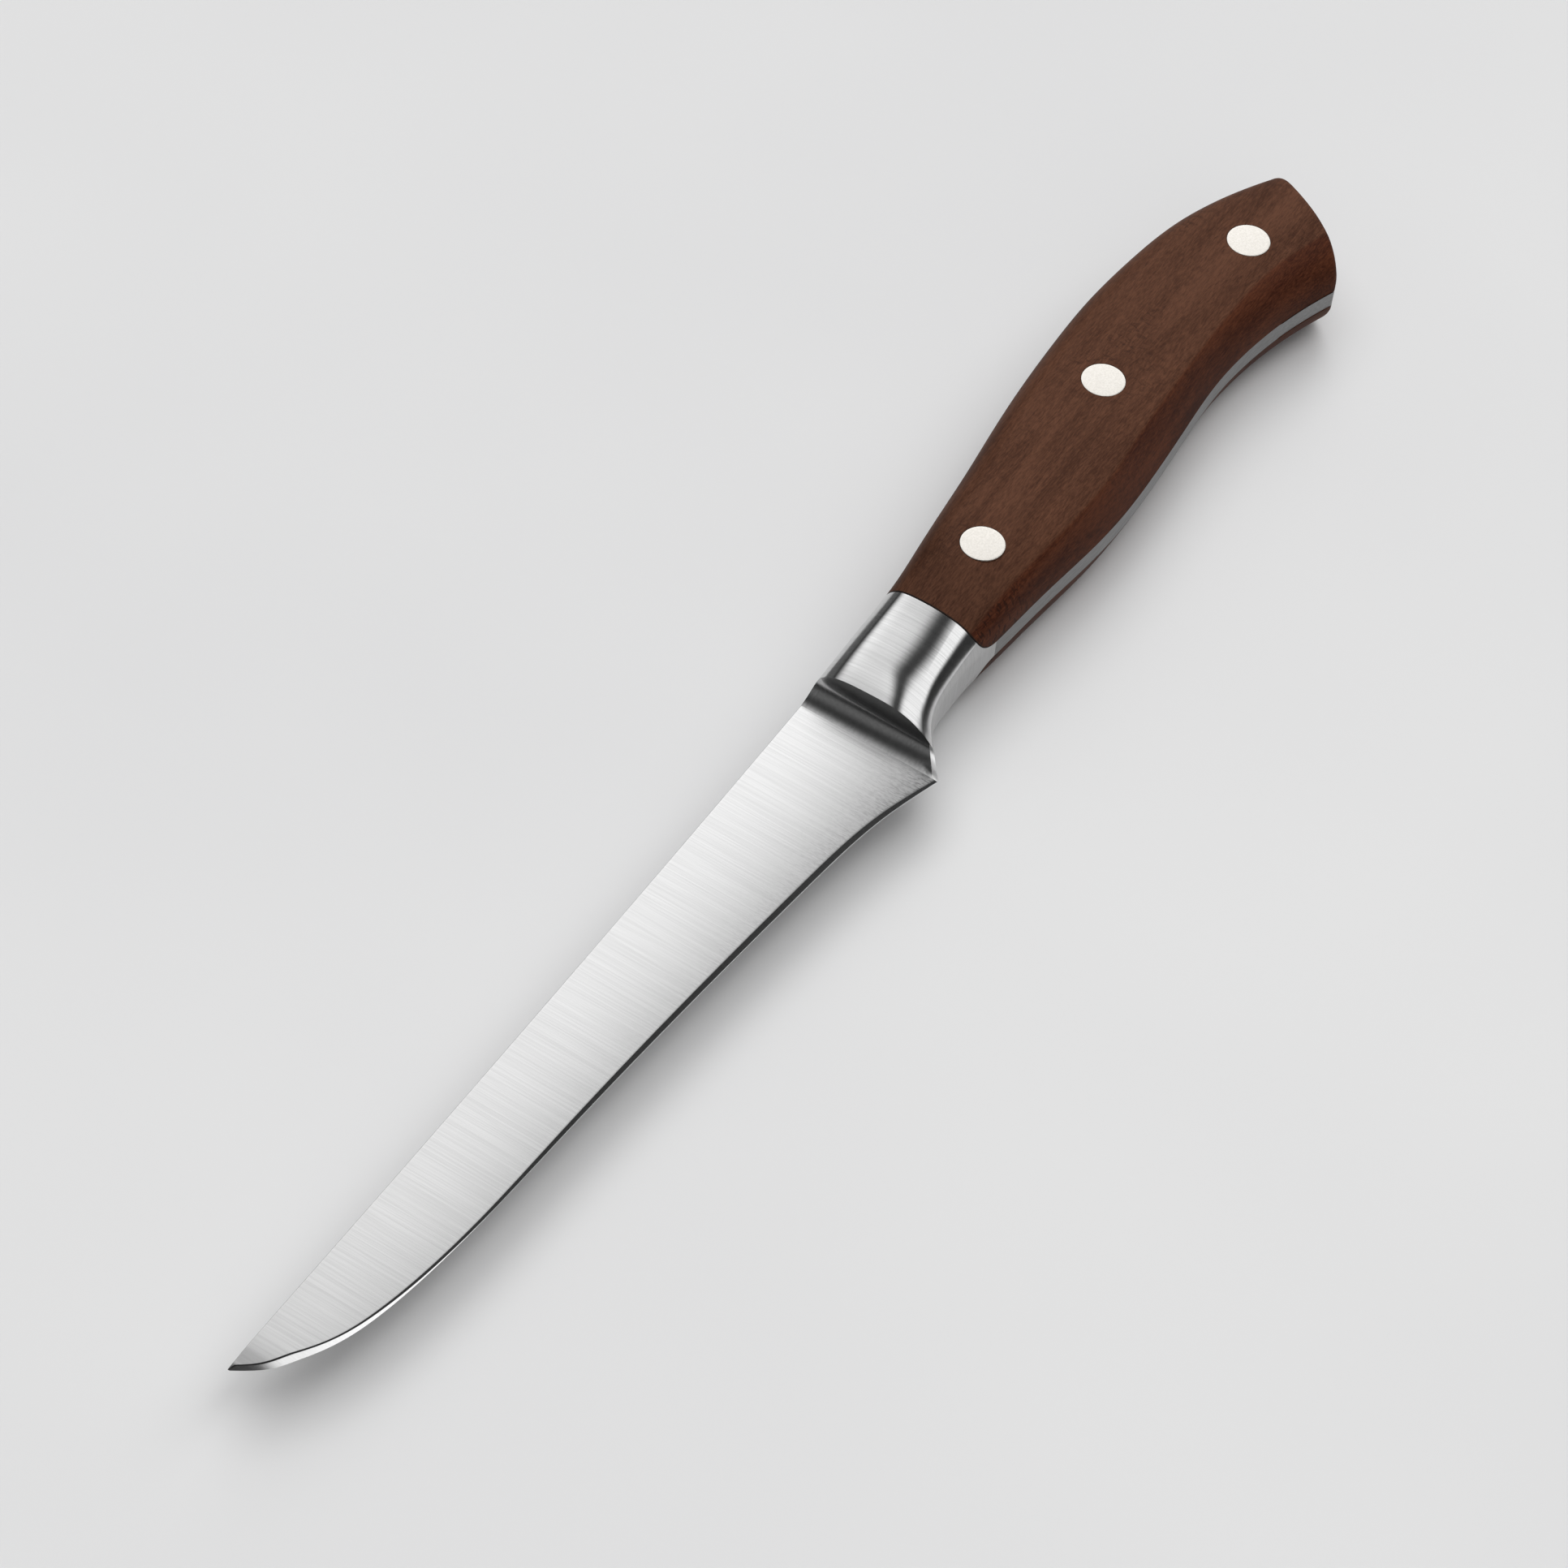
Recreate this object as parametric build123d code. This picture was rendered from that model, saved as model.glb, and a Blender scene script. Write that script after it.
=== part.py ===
from build123d import *
import math
import os

os.makedirs("parts", exist_ok=True)

# A forged boning knife lying on its side, in millimetres. X runs from the tip to the butt, Y from
# the cutting edge up to the spine, Z through the thickness. It is drawn with the tip at X = Y = 0
# and the middle of its thickness at Z = 0, and moved to the middle of its footprint at the end.

# Blade
BLADE_LENGTH = 150.0        # tip to heel, along X
SPINE_SAG = 0.8             # the spine dips by this much in the middle
POINT_HEIGHT = 0.35         # spine corner above the tip
SPINE_THICKNESS = 2.05      # of the blade where it meets the bolster
FLAT_TAPER_Y = 0.038        # half thickness gained per mm towards the spine
FLAT_TAPER_X = 0.0038       # half thickness gained per mm towards the handle
BEVEL_ANGLE = 12.0          # of each honed side of the edge

# Bolster
BOLSTER_TOP = -0.85         # spine line of the bolster
SHOULDER_X = 151.7          # flat front wall of the bolster
SCOOP_RADIUS = 3.9          # hollow that runs the wall out on the blade
SCOOP_BITE = 0.03           # how far the hollow cuts below the flat of the blade

# Handle
WOOD_START = 171.0          # the bolster's rear wall, which the scales butt against
WOOD_BELLY = -18.3          # of the belly at that wall
ROOT_RADIUS = 5.0           # round corner between that wall and the flats of the tang
TANG_THICKNESS = 3.3
HALF_THICKNESS = 9.4        # from the middle to the flat side that the knife rests on
SPINE_ROUNDNESS = 3.3       # exponent of the rounded spine side: 2 is an ellipse, more is squarer
CROWN_SHARE = 0.45          # where the side is highest, as a share of the way from spine to ridge
BUTT = [(286.0, -6.9), (281.4, -16.2), (274.6, -25.2)]

# Rivets, each a socket from the lower side with a pin driven into it from the upper side
RIVETS = {"front": (185.8, -9.55), "middle": (227.2, -7.3), "rear": (268.5, -10.85)}
HEAD_RADIUS = 3.6
HEAD_DEPTH = 1.8
BARREL_RADIUS = 2.5
PIN_RADIUS = 1.5
BARREL_GAP = 0.5            # from the barrel's mouth to the head of the pin
PIN_GAP = 0.2               # from the pin's end to the bottom of the bore

CLEAR = 60.0                # reaches past the knife on any side

# The cutting edge from the tip to the heel.
EDGE = [(0, 0), (3, -4.0), (6, -6.2), (10, -8.5), (20, -11.8), (32, -13.6), (60, -15.5),
        (90, -17.5), (120, -20.1), (138, -22.6), (BLADE_LENGTH - 2.1, -25.3)]

# Bolster and handle, section by section: X, spine, height of the side, ridge (Y and height), belly,
# and how far the belly facet swells out of flat.
SECTIONS = [
    (147.9, BOLSTER_TOP, 6.0, -24.3, 0.9, -25.3, 0.1),
    (149.8, BOLSTER_TOP, 6.2, -22.9, 1.7, -23.8, 0.1),
    (151.7, BOLSTER_TOP, 6.4, -21.3, 2.5, -22.2, 0.1),
    (153.6, BOLSTER_TOP, 6.6, -19.7, 3.5, -20.8, 0.1),
    (156.0, BOLSTER_TOP, 6.8, -18.3, 4.5, -19.5, 0.2),
    (159.5, BOLSTER_TOP, 7.1, -17.3, 5.3, -18.6, 0.3),
    (164.5, BOLSTER_TOP, 7.5, -16.8, 5.9, -18.2, 0.4),
    (WOOD_START, BOLSTER_TOP, 8.0, -16.4, 6.5, WOOD_BELLY, 0.5),
    (176.0, -0.6, 8.65, -16.4, 7.1, -18.8, 0.6),
    (182.0, 0.0, 9.35, -16.7, 7.7, -19.3, 0.6),
    (190.0, 0.9, 9.6, -17.4, 8.3, -20.0, 0.5),
    (200.0, 2.0, 9.7, -18.3, 8.7, -21.1, 0.4),
    (210.0, 3.3, 9.7, -18.5, 8.9, -21.7, 0.3),
    (220.0, 4.4, 9.7, -17.7, 8.9, -21.4, 0.3),
    (232.0, 5.2, 9.7, -16.9, 8.9, -20.5, 0.3),
    (245.0, 5.4, 9.7, -16.3, 8.9, -19.7, 0.5),
    (256.0, 4.5, 9.7, -16.2, 8.9, -20.5, 0.9),
    (266.0, 2.9, 9.7, -17.0, 8.9, -22.5, 1.3),
    (276.0, -0.4, 9.6, -19.5, 8.8, -25.8, 1.5),
    (286.0, -5.6, 9.5, -23.3, 8.7, -30.0, 1.5),
    (294.0, -10.8, 9.4, -26.6, 8.6, -33.8, 1.5),
]


def section(x, spine, height, ridge_y, ridge_z, belly, bulge):
    """One section across the bolster or handle: rounded spine, side, belly facets, flat on the tang."""
    crown = spine + (ridge_y - spine) * CROWN_SHARE
    upper = []
    for degrees in (0, 25, 48, 70, 90):
        turn = math.radians(degrees)
        out = (spine - crown) * math.cos(turn) ** (2 / SPINE_ROUNDNESS)
        up = height * math.sin(turn) ** (2 / SPINE_ROUNDNESS)
        upper.append((x, crown + out, up))
    upper.append((x, (crown + ridge_y) / 2, height - (height - ridge_z) / 4))
    upper.append((x, ridge_y, ridge_z))
    half_strip = min(TANG_THICKNESS / 2, 0.6 * ridge_z - 0.4)
    chord = Vector(0, belly - ridge_y, half_strip - ridge_z)
    middle = Vector(x, (ridge_y + belly) / 2, (ridge_z + half_strip) / 2)
    swollen = middle + chord.cross(Vector(1, 0, 0)).normalized() * bulge
    side = Spline(*upper, tangents=[(0, 0, 1), (0, -1, (ridge_z - height) / (crown - ridge_y) * 2)])
    facet = ThreePointArc(upper[-1], swollen, (x, belly, half_strip))
    strip = Line((x, belly, half_strip), (x, belly, -half_strip))
    halves = [side, facet, facet.mirror(Plane.XY), side.mirror(Plane.XY)]
    return Face(Wire(halves[:2] + [strip] + halves[2:]))


def hull():
    """The bolster and handle as one smooth solid, cut to the flat sides and to the butt."""
    body = loft([section(*row) for row in SECTIONS])
    slab = Box(2 * SECTIONS[-1][0], 2 * CLEAR, 2 * HALF_THICKNESS)
    butt = ThreePointArc(*BUTT)
    above = butt @ 0 + (6, 20)
    below = butt @ 1 + (-6, -8)
    around = Polyline(butt @ 0, above, (0, CLEAR), (0, -CLEAR), below, butt @ 1)
    kept = extrude(make_face(Wire([butt] + around.edges())), CLEAR, both=True)
    return body & slab & kept


def flat_plane(side):
    """The flat of the blade on the upper (side 1) or lower (side -1) face."""
    normal = Vector(-FLAT_TAPER_X, -FLAT_TAPER_Y, side)
    return Plane(origin=(BLADE_LENGTH, BOLSTER_TOP, side * SPINE_THICKNESS / 2), z_dir=normal)


def blade():
    """A tapered blade with flat faces and a honed edge, reaching into the bolster behind the heel."""
    edge = Spline(*EDGE)
    spine_dip = (BLADE_LENGTH / 2, POINT_HEIGHT / 2 - SPINE_SAG)
    spine = ThreePointArc((1.2, POINT_HEIGHT), spine_dip, (SHOULDER_X, BOLSTER_TOP))
    heel = Polyline(edge @ 1, (149.8, -23.8), (SHOULDER_X, -22.2), spine @ 1)
    point = Line(spine @ 0, edge @ 0)
    body = extrude(make_face(Wire([edge, spine, point] + heel.edges())), CLEAR, both=True)
    for side in (1, -1):
        body = split(body, flat_plane(side), keep=Keep.BOTTOM)
    before = Line(edge @ 0 - 3 * (edge % 0), edge @ 0)
    after = Line(edge @ 1, edge @ 1 + 3 * (edge % 1))
    path = Wire([before, edge, after])
    start = Plane(origin=path @ 0, x_dir=(path % 0).cross(Vector(0, 0, 1)), z_dir=path % 0)
    reach = 2.5
    rise = reach * math.tan(math.radians(BEVEL_ANGLE))
    for side in (1, -1):
        honed_away = Polygon((0, 0), (-reach, side * rise), (0.4, side * rise), (0.4, 0), align=None)
        body -= sweep(start * honed_away, path)
    return body


def scoop(side):
    """The hollow in front of the bolster's shoulder, ground along the flat of the blade."""
    above = 10
    axis_x = SHOULDER_X - SCOOP_RADIUS
    axis_z = SPINE_THICKNESS / 2 + SCOOP_RADIUS - SCOOP_BITE + FLAT_TAPER_Y * (above - BOLSTER_TOP)
    front = (axis_x - SCOOP_RADIUS, above, side * axis_z)
    bottom = (axis_x, above, side * (axis_z - SCOOP_RADIUS))
    wall = (SHOULDER_X, above, side * axis_z)
    bowl = ThreePointArc(front, bottom, wall)
    mouth = Polyline(wall, (wall[0], above, side * CLEAR), (front[0], above, side * CLEAR), front)
    profile = make_face(Wire([bowl] + mouth.edges()))
    return extrude(profile, CLEAR, dir=(0, -1, -side * FLAT_TAPER_Y))


def scale_space(side):
    """The room behind the bolster for the wooden scale above (side 1) or below (side -1) the tang."""
    size = 4 * CLEAR
    centre = (WOOD_START + size / 2, 0, side * (TANG_THICKNESS + size) / 2)
    block = Pos(centre) * Box(size, size, size)
    root = block.edges().sort_by_distance((WOOD_START, 0, side * TANG_THICKNESS / 2))[0]
    return fillet(root, ROOT_RADIUS)


def upright(radius, length):
    """A cylinder standing on its lower end."""
    return Cylinder(radius, length, align=(Align.CENTER, Align.CENTER, Align.MIN))


def rivet_socket(x, y):
    """A flush head on the lower side with a hollow barrel that reaches through both scales."""
    length = 2 * HALF_THICKNESS - HEAD_DEPTH - BARREL_GAP
    solid = upright(HEAD_RADIUS, HEAD_DEPTH) + upright(BARREL_RADIUS, length)
    bore = Pos(0, 0, HEAD_DEPTH) * upright(PIN_RADIUS, length)
    return Pos(x, y, -HALF_THICKNESS) * (solid - bore)


def rivet_pin(x, y):
    """A flush head on the upper side with a solid pin driven into the socket's barrel."""
    head = Pos(0, 0, HALF_THICKNESS - HEAD_DEPTH) * upright(HEAD_RADIUS, HEAD_DEPTH)
    pin_start = HEAD_DEPTH + PIN_GAP - HALF_THICKNESS
    pin = Pos(0, 0, pin_start) * upright(PIN_RADIUS, HALF_THICKNESS - pin_start)
    return Pos(x, y) * (head + pin)


def rivet_hole(x, y):
    """The stepped hole that a rivet fills: a counterbore for each head and a bore for the barrel."""
    bore = Cylinder(BARREL_RADIUS, 2 * HALF_THICKNESS)
    middle_of_sink = HALF_THICKNESS - HEAD_DEPTH + CLEAR / 2
    sinks = [Pos(0, 0, side * middle_of_sink) * Cylinder(HEAD_RADIUS, CLEAR) for side in (1, -1)]
    return Pos(x, y) * (bore + sinks)


handle = hull()
room = scale_space(1) + scale_space(-1)
holes = [rivet_hole(x, y) for x, y in RIVETS.values()]
wood = (handle & room) - holes
forging = (handle - room) + blade() - [scoop(1), scoop(-1)] - holes
parts = {
    "blade_bolster_and_tang": forging,
    "upper_scale": wood.solids().sort_by(Axis.Z)[-1],
    "lower_scale": wood.solids().sort_by(Axis.Z)[0],
}
for place, (x, y) in RIVETS.items():
    parts[place + "_rivet_socket"] = rivet_socket(x, y) & handle
    parts[place + "_rivet_pin"] = rivet_pin(x, y) & handle

# The forging reaches as far as the whole knife in X and Y.
middle = forging.bounding_box().center()
to_origin = Pos(-middle.X, -middle.Y, HALF_THICKNESS)
for name, part in parts.items():
    export_step(to_origin * part, f"parts/{name}.step")
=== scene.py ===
import math
import bmesh
import bpy
import numpy as np
from mathutils import Matrix, Vector


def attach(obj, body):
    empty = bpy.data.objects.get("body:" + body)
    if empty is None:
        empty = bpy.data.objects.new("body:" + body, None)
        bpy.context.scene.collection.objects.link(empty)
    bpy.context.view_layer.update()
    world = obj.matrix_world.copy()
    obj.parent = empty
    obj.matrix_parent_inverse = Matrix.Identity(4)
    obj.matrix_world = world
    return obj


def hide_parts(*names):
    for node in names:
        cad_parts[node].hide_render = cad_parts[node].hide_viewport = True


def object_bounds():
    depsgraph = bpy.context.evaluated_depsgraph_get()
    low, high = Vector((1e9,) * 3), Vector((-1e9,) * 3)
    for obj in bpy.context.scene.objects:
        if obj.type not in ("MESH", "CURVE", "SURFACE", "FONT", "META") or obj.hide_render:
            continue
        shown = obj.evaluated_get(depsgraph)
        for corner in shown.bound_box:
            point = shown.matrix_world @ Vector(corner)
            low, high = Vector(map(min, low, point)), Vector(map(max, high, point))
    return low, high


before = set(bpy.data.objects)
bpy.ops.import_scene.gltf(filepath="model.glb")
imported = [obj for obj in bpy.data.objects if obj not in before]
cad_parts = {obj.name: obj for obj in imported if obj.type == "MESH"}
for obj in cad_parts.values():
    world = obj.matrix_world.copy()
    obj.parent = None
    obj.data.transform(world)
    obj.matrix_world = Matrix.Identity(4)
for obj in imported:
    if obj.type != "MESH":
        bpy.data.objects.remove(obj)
cad_low, cad_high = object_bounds()

# The knife's own frame, in millimetres: the tip at x = 0 with y = 0 level with it, +Y up to the spine,
# z = 0 in the middle of the thickness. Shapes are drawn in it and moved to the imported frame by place().
MM = 0.001
HEEL_Y = -25.3
ORIGIN = np.array([cad_low.x, cad_low.y - HEEL_Y * MM, (cad_low.z + cad_high.z) / 2])

# Blade
BLADE_LENGTH = 150.0
SPINE_SAG = 0.38            # dip of the spine below a straight line from the tip to the bolster
POINT_HEIGHT = 0.35
SPINE_THICKNESS = 2.05
FLAT_TAPER_Y = 0.038
FLAT_TAPER_X = 0.0038
BEVEL_ANGLE = 12.0          # of each honed side, and how much steeper its lower part is
TIP_STEEPER = 6.0
BEVEL_WIDEST = 1.5
TIP_THICKER = 0.09          # what half the blade's thickness gains towards the tip
EDGE_HALF = 0.015           # half the width of the honed edge
SPINE_EASE = 0.12           # eased corner between the spine and the flat
HEEL_X = 147.9

# Bolster
BOLSTER_TOP = -0.85
SHOULDER_X = 151.7
SCOOP_LENGTH = 4.4          # along the spine; the hollow starts farther forward near the belly
SCOOP_SLANT = 0.9
SCOOP_SPINE_RISE = 3.3

# Handle
WOOD_START = 171.0
WOOD_BELLY = -18.3
ROOT_RADIUS = 5.0           # round corner between the bolster's rear wall and the flats of the tang
TANG_HALF = 1.65
HALF_THICKNESS = 9.4
FLATTEN = 0.25              # how softly the sides run into the flat at half the thickness
SPINE_ROUNDNESS = 3.3       # exponent of the rounded spine side: 2 is an ellipse, more is squarer
CROWN_SHARE = 0.45          # where the rounded spine ends, from the spine down to the ridge
BUTT = [(286.0, -6.9), (281.4, -16.2), (274.6, -25.2)]
BUTT_ROUND = 1.1            # rounded corners of the butt, seen from the side
BUTT_EDGE = 0.9             # rounded edge between the butt and the side
SEAM = 0.12                 # eased edges of the wood, and the fine gap between it and the bolster
GAP = 0.08
CLEARANCE = 0.02            # between the wood and the tang, and around the heads of the rivets

# Rivets: the solid pin holds the upper head, the hollow barrel the lower one.
RIVETS = {"front": (185.8, -9.55), "middle": (227.2, -7.3), "rear": (268.5, -10.85)}
HEAD_RADIUS = 3.6
HEAD_THICKNESS = 1.8
RIM = 0.1                   # rounded rim of a rivet's head
DOME = 0.03
PIN_RADIUS, PIN_SHORT = 1.5, 2.0            # radius, and how far the end stays from the other side's face
BARREL_RADIUS, BARREL_SHORT = 2.5, 2.3
AXIS = 0.02                 # radius of the first ring around an axis
LATHE_STEPS = 96

EDGE = [(0, 0), (3, -4.0), (6, -6.2), (10, -8.5), (20, -11.8), (32, -13.6), (60, -15.5),
        (90, -17.5), (120, -20.1), (138, -22.6), (HEEL_X, HEEL_Y)]

# Bolster and handle: x, spine, height of the side, ridge (y and height), belly, swell of the belly facet.
SECTIONS = [
    (147.9, BOLSTER_TOP, 6.0, -24.3, 0.9, -25.3, 0.1),
    (149.8, BOLSTER_TOP, 6.2, -22.9, 1.7, -23.8, 0.1),
    (151.7, BOLSTER_TOP, 6.4, -21.3, 2.5, -22.2, 0.1),
    (153.6, BOLSTER_TOP, 6.6, -19.7, 3.5, -20.8, 0.1),
    (156.0, BOLSTER_TOP, 6.8, -18.3, 4.5, -19.5, 0.2),
    (159.5, BOLSTER_TOP, 7.1, -17.3, 5.3, -18.6, 0.3),
    (164.5, BOLSTER_TOP, 7.5, -16.8, 5.9, -18.2, 0.4),
    (WOOD_START, BOLSTER_TOP, 8.1, -16.4, 6.5, WOOD_BELLY, 0.5),
    (176.0, -0.6, 8.65, -16.4, 7.1, -18.8, 0.6),
    (182.0, 0.0, 9.35, -16.7, 7.7, -19.3, 0.6),
    (190.0, 0.9, 9.6, -17.4, 8.3, -20.0, 0.5),
    (200.0, 2.0, 9.7, -18.3, 8.7, -21.1, 0.4),
    (210.0, 3.3, 9.7, -18.5, 8.9, -21.7, 0.3),
    (220.0, 4.4, 9.7, -17.7, 8.9, -21.4, 0.3),
    (232.0, 5.2, 9.7, -16.9, 8.9, -20.5, 0.3),
    (245.0, 5.4, 9.7, -16.3, 8.9, -19.7, 0.5),
    (256.0, 4.5, 9.7, -16.2, 8.9, -20.5, 0.9),
    (266.0, 2.9, 9.7, -17.0, 8.9, -22.5, 1.3),
    (276.0, -0.4, 9.6, -19.5, 8.8, -25.8, 1.5),
    (286.0, -5.6, 9.5, -23.3, 8.7, -30.0, 1.5),
    (294.0, -10.8, 9.4, -26.6, 8.6, -33.8, 1.5),
]


# ---------------------------------------------------------------- curves

def smooth_curve(points):
    """A natural cubic spline through (x, value) points, as a function of x."""
    xs, ys = (np.array(v, float) for v in zip(*points))
    h = np.diff(xs)
    n = len(xs)
    matrix = np.eye(n)
    right = np.zeros(n)
    for i in range(1, n - 1):
        matrix[i, i - 1:i + 2] = h[i - 1], 2 * (h[i - 1] + h[i]), h[i]
        right[i] = 6 * ((ys[i + 1] - ys[i]) / h[i] - (ys[i] - ys[i - 1]) / h[i - 1])
    bend = np.linalg.solve(matrix, right)

    def value(x):
        i = np.clip(np.searchsorted(xs, x) - 1, 0, n - 2)
        a, b = xs[i + 1] - x, x - xs[i]
        cubic = (bend[i] * a ** 3 + bend[i + 1] * b ** 3) / (6 * h[i])
        line = (ys[i] / h[i] - bend[i] * h[i] / 6) * a + (ys[i + 1] / h[i] - bend[i + 1] * h[i] / 6) * b
        return cubic + line

    return value


def arc_through(points):
    """Centre and radius of the circle through three points."""
    (ax, ay), (bx, by), (cx, cy) = points
    d = 2 * (ax * (by - cy) + bx * (cy - ay) + cx * (ay - by))
    sa, sb, sc = ax * ax + ay * ay, bx * bx + by * by, cx * cx + cy * cy
    ux = (sa * (by - cy) + sb * (cy - ay) + sc * (ay - by)) / d
    uy = (sa * (cx - bx) + sb * (ax - cx) + sc * (bx - ax)) / d
    return ux, uy, math.hypot(ax - ux, ay - uy)


def quadratic(a, b, c, t):
    """Points of a quadratic curve from a to c that leans towards b."""
    t = np.asarray(t)[:, None]
    return (1 - t) ** 2 * np.array(a) + 2 * t * (1 - t) * np.array(b) + t ** 2 * np.array(c)


def smooth(value, start, end):
    """0 at the start and 1 at the end, easing in and out."""
    share = np.clip((value - start) / (end - start), 0, 1)
    return share * share * (3 - 2 * share)


def round_off(distance, radius):
    """How far a rounded corner falls back at a distance from it."""
    inside = np.clip(radius - distance, 0, radius)
    return radius - np.sqrt(radius ** 2 - inside ** 2)


edge_y = smooth_curve(EDGE)
columns_of_sections = list(zip(*SECTIONS))
hull_spine, hull_height, ridge_y, ridge_z, belly_y, hull_bulge = (
    smooth_curve(list(zip(columns_of_sections[0], values))) for values in columns_of_sections[1:])
butt_x0, butt_y0, butt_radius = arc_through(BUTT)


def blade_spine(x):
    """Height of the blade's spine."""
    straight = POINT_HEIGHT + (BOLSTER_TOP - POINT_HEIGHT) * x / SHOULDER_X
    return straight - 4 * SPINE_SAG * (x / SHOULDER_X) * (1 - x / SHOULDER_X)


def flat_half(x, y):
    """Half the thickness of the blade between its ground flats."""
    tip = TIP_THICKER * smooth(x, 45, 10)
    return SPINE_THICKNESS / 2 + FLAT_TAPER_Y * (y - BOLSTER_TOP) + FLAT_TAPER_X * (x - BLADE_LENGTH) + tip


SCOOP_BELLY_RISE = ridge_z(SHOULDER_X) - flat_half(SHOULDER_X, ridge_y(SHOULDER_X))


# ---------------------------------------------------------------- sections

# How many steps each stretch of a section has, from the middle of the spine to the middle of the belly.
STRIP, SPINE_SIDE, CROWN, SIDE, RIDGE, FACET, LOWER = 4, 9, 16, 24, 8, 20, 4
FACE = CROWN + SIDE + RIDGE
UPPER_BEVEL = FACET // 2    # steps of the honed bevel's upper part; the steeper lower part has the rest
SHOULDER_TURN = 0.62        # share of the rounded spine side that lies below the top of the scoop


def belly_half(ridge_height):
    """Half the width of the flat strip along the belly."""
    return min(TANG_HALF, 0.6 * ridge_height - 0.4)


def section(x):
    """Half a section of the bolster or handle at x: rows of (y, z)."""
    spine, height = hull_spine(x), hull_height(x)
    ry, rz, belly = ridge_y(x), ridge_z(x), belly_y(x)
    strip = belly_half(rz)
    crown = spine + (ry - spine) * CROWN_SHARE
    start = math.asin(min(1.0, (strip / height) ** (SPINE_ROUNDNESS / 2)))
    split = SHOULDER_TURN * math.pi / 2
    turns = np.concatenate([np.linspace(0, start, STRIP + 1), np.linspace(start, split, SPINE_SIDE + 1)[1:],
                            np.linspace(split, math.pi / 2, CROWN + 1)[1:]])
    power = 2 / SPINE_ROUNDNESS
    upper = np.c_[crown + (spine - crown) * np.cos(turns).clip(0) ** power, height * np.sin(turns) ** power]
    soft = min(0.7 + 1.6 * smooth(x, 205, 175), 0.35 * rz)
    share = 1 - soft / (crown - ry)
    u = np.linspace(0, share, SIDE + 1)[1:]
    side = np.c_[crown + (ry - crown) * u, height - (height - rz) * u ** (2 + smooth(x, 158, 153))]
    facet_way = np.array([belly - ry, strip - rz])
    facet_way /= np.linalg.norm(facet_way)
    out = np.array([facet_way[1], -facet_way[0]])
    bulge = (np.array([ry, rz]) + np.array([belly, strip])) / 2 + 2 * hull_bulge(x) * out
    facet = quadratic((ry, rz), bulge, (belly, strip), np.linspace(0, 1, 201))
    run = np.concatenate([[0], np.cumsum(np.linalg.norm(np.diff(facet, axis=0), axis=1))])
    places = soft + (run[-1] - soft) * (1 - np.linspace(1, 0, FACET + 1) ** 1.5)
    facet = np.c_[np.interp(places, run, facet[:, 0]), np.interp(places, run, facet[:, 1])]
    corner = quadratic(side[-1], (ry, rz), facet[0], np.linspace(0, 1, RIDGE + 1)[1:])
    lower = np.c_[np.full(LOWER, belly), np.linspace(strip, 0, LOWER + 1)[1:]]
    profile = np.concatenate([upper, side, corner, facet[1:], lower])
    near = np.clip((FLATTEN - np.abs(profile[:, 1] - HALF_THICKNESS)) / FLATTEN, 0, 1)
    profile[:, 1] = np.minimum(profile[:, 1], HALF_THICKNESS) - near ** 2 * FLATTEN / 4
    return profile


def face_half(x, y):
    """Half the thickness of the blade with the hollow in front of the shoulder, a quarter of an ellipse."""
    down = np.clip((BOLSTER_TOP - y) / (BOLSTER_TOP - ridge_y(SHOULDER_X)), 0, 1.2)
    length = SCOOP_LENGTH + SCOOP_SLANT * down ** 2
    turn = np.arcsin(np.clip((x - SHOULDER_X + length) / length, 0, 1))
    rise = SCOOP_SPINE_RISE + (SCOOP_BELLY_RISE - SCOOP_SPINE_RISE) * down
    low = edge_y(x) + 0.8 if x < HEEL_X else ridge_y(x)
    fade = np.maximum(smooth(y, low, low + 1.5), smooth(x, HEEL_X, HEEL_X + 1.5))
    return flat_half(x, y) + rise * fade * (1 - np.cos(turn))


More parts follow.
